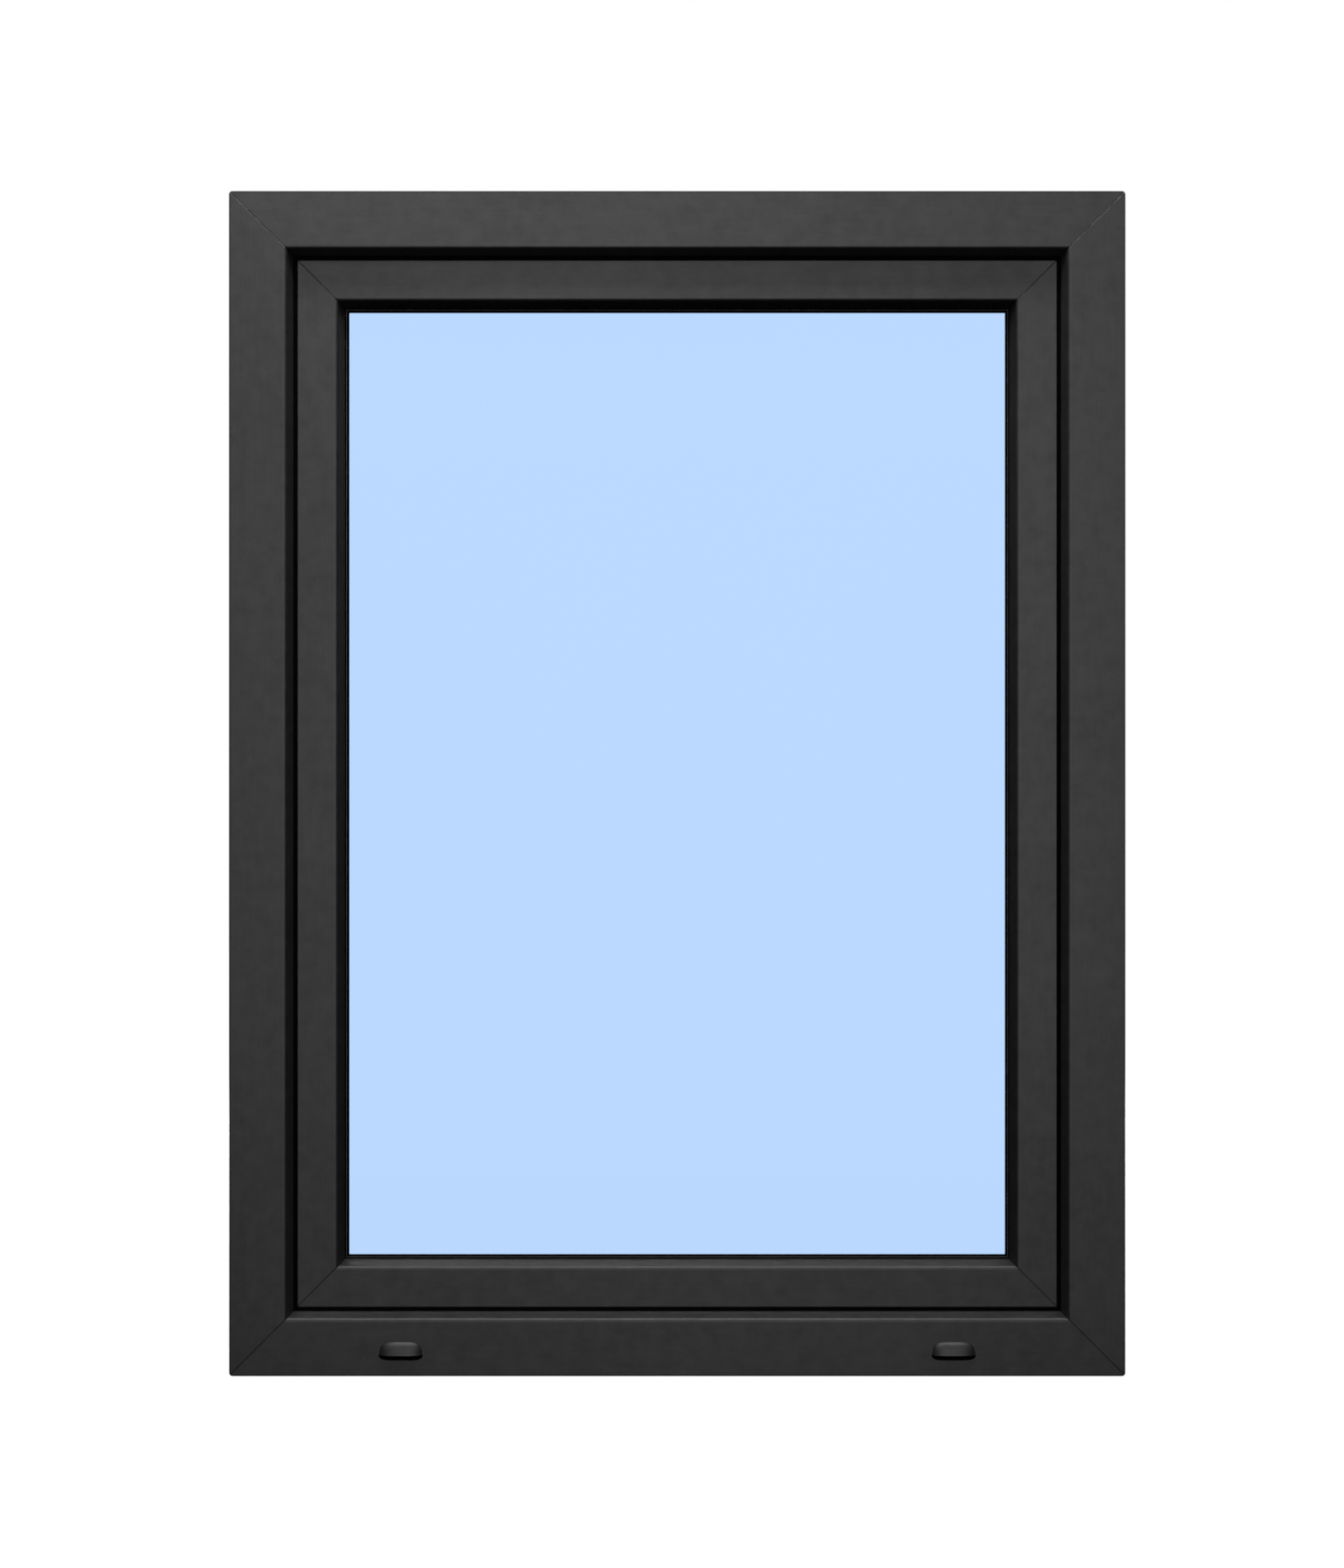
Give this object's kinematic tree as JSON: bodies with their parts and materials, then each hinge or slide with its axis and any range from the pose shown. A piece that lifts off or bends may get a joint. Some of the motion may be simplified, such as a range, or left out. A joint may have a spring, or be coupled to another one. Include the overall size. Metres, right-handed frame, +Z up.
{
  "type": "casement window",
  "caption": "Inward-opening tilt-and-turn casement window: dark plastic frame and sash, sealed glass unit, concealed locking rods, lever handle and drainage caps.",
  "frame": {"origin": "middle of the sill's underside, half way across the window and half way through the frame's depth", "axes": "+Z up, +Y into the room, -Y outdoors, +X towards the handle side and -X towards the hinge side"},
  "size_m": [0.9, 0.1489, 1.19],
  "materials": {
    "frame_pvc": "satin",
    "sash_pvc": "satin",
    "cap_plastic": "satin",
    "gasket_rubber": "matte",
    "galvanised_steel": "satin",
    "hardware_steel": "satin",
    "gearbox_zinc": "satin",
    "screw_steel": "satin",
    "hinge_coated": "satin",
    "hinge_cap_plastic": "satin",
    "glass": "gloss",
    "spacer": "satin",
    "edge_seal": "matte",
    "packer_plastic": "matte",
    "handle_aluminium": "satin"
  },
  "bodies": {
    "frame": {"frame_head": "frame_pvc", "frame_sill": "frame_pvc", "frame_jamb_hinge": "frame_pvc", "frame_jamb_lock": "frame_pvc", "drain_cap_left": "cap_plastic", "drain_cap_right": "cap_plastic", "frame_gasket": "gasket_rubber", "frame_steel_horizontal": "galvanised_steel", "frame_steel_vertical": "galvanised_steel", "striker_lower": "hardware_steel", "striker_upper": "hardware_steel", "striker_head": "hardware_steel", "striker_tilt": "hardware_steel", "striker_screws": "screw_steel", "stay_bearing": "hinge_coated", "stay_bearing_pin": "hardware_steel", "stay_bearing_cap": "hinge_cap_plastic", "corner_bearing": "hinge_coated", "corner_bearing_cap": "hinge_cap_plastic", "bearing_screws": "screw_steel"},
    "pivot": {"corner_pivot_pin": "hardware_steel"},
    "sash": {"sash_top_rail": "sash_pvc", "sash_bottom_rail": "sash_pvc", "sash_stile_hinge": "sash_pvc", "sash_stile_lock": "sash_pvc", "bead_top": "sash_pvc", "bead_bottom": "sash_pvc", "bead_hinge_side": "sash_pvc", "bead_lock_side": "sash_pvc", "sash_steel_horizontal": "galvanised_steel", "sash_steel_hinge": "galvanised_steel", "sash_steel_lock": "galvanised_steel", "sash_gasket": "gasket_rubber", "glazing_gasket_outer": "gasket_rubber", "glazing_gasket_inner": "gasket_rubber", "glass_pane_outer": "glass", "glass_pane_inner": "glass", "spacer_bar": "spacer", "glass_edge_seal": "edge_seal", "glazing_packers": "packer_plastic", "faceplate_lock": "hardware_steel", "faceplate_top": "hardware_steel", "faceplate_bottom": "hardware_steel", "corner_drives": "hardware_steel", "hardware_screws": "screw_steel", "corner_band": "hinge_coated", "corner_band_cap": "hinge_cap_plastic", "gearbox_case": "gearbox_zinc", "handle_rosette": "handle_aluminium", "handle_screws": "screw_steel"},
    "stay_arm": {"stay_arm": "hardware_steel", "stay_slider_pin": "hardware_steel"},
    "handle": {"handle_grip": "handle_aluminium", "handle_spindle": "hardware_steel", "gearbox_pinion": "hardware_steel"},
    "lock_rod": {"lock_rod": "hardware_steel"},
    "top_rod": {"top_rod": "hardware_steel"},
    "bottom_rod": {"bottom_rod": "hardware_steel"}
  },
  "joints": [
    {"name": "sash_turn", "type": "hinge", "parent": "frame", "child": "pivot", "pos_m": [-0.423, 0.05, 0.034], "axis": [0, 0, 1], "range_deg": [0, 90]},
    {"name": "sash_tilt", "type": "hinge", "parent": "pivot", "child": "sash", "pos_m": [-0.423, 0.05, 0.034], "axis": [-1, 0, 0], "range_deg": [0, 7]},
    {"name": "stay_swing", "type": "hinge", "parent": "pivot", "child": "stay_arm", "pos_m": [-0.423, 0.05, 1.1375], "axis": [0, 0, 1], "range_deg": [0, 17.3]},
    {"name": "handle_turn", "type": "hinge", "parent": "sash", "child": "handle", "pos_m": [0.37654, 0.097, 0.595], "axis": [0, 1, 0], "range_deg": [-90, 90]},
    {"name": "lock_rod_slide", "type": "slide", "parent": "sash", "child": "lock_rod", "axis": [0, 0, 1], "range_m": [-0.018, 0.018]},
    {"name": "top_rod_slide", "type": "slide", "parent": "sash", "child": "top_rod", "axis": [1, 0, 0], "range_m": [-0.018, 0.018]},
    {"name": "bottom_rod_slide", "type": "slide", "parent": "sash", "child": "bottom_rod", "axis": [1, 0, 0], "range_m": [-0.018, 0.018]}
  ],
  "couplings": [
    {"joint": "stay_swing", "follows": "sash_tilt", "ratio": 2.467},
    {"joint": "lock_rod_slide", "follows": "handle_turn", "m_per_rad": -0.011459},
    {"joint": "top_rod_slide", "follows": "handle_turn", "m_per_rad": 0.011459},
    {"joint": "bottom_rod_slide", "follows": "handle_turn", "m_per_rad": -0.011459}
  ]
}
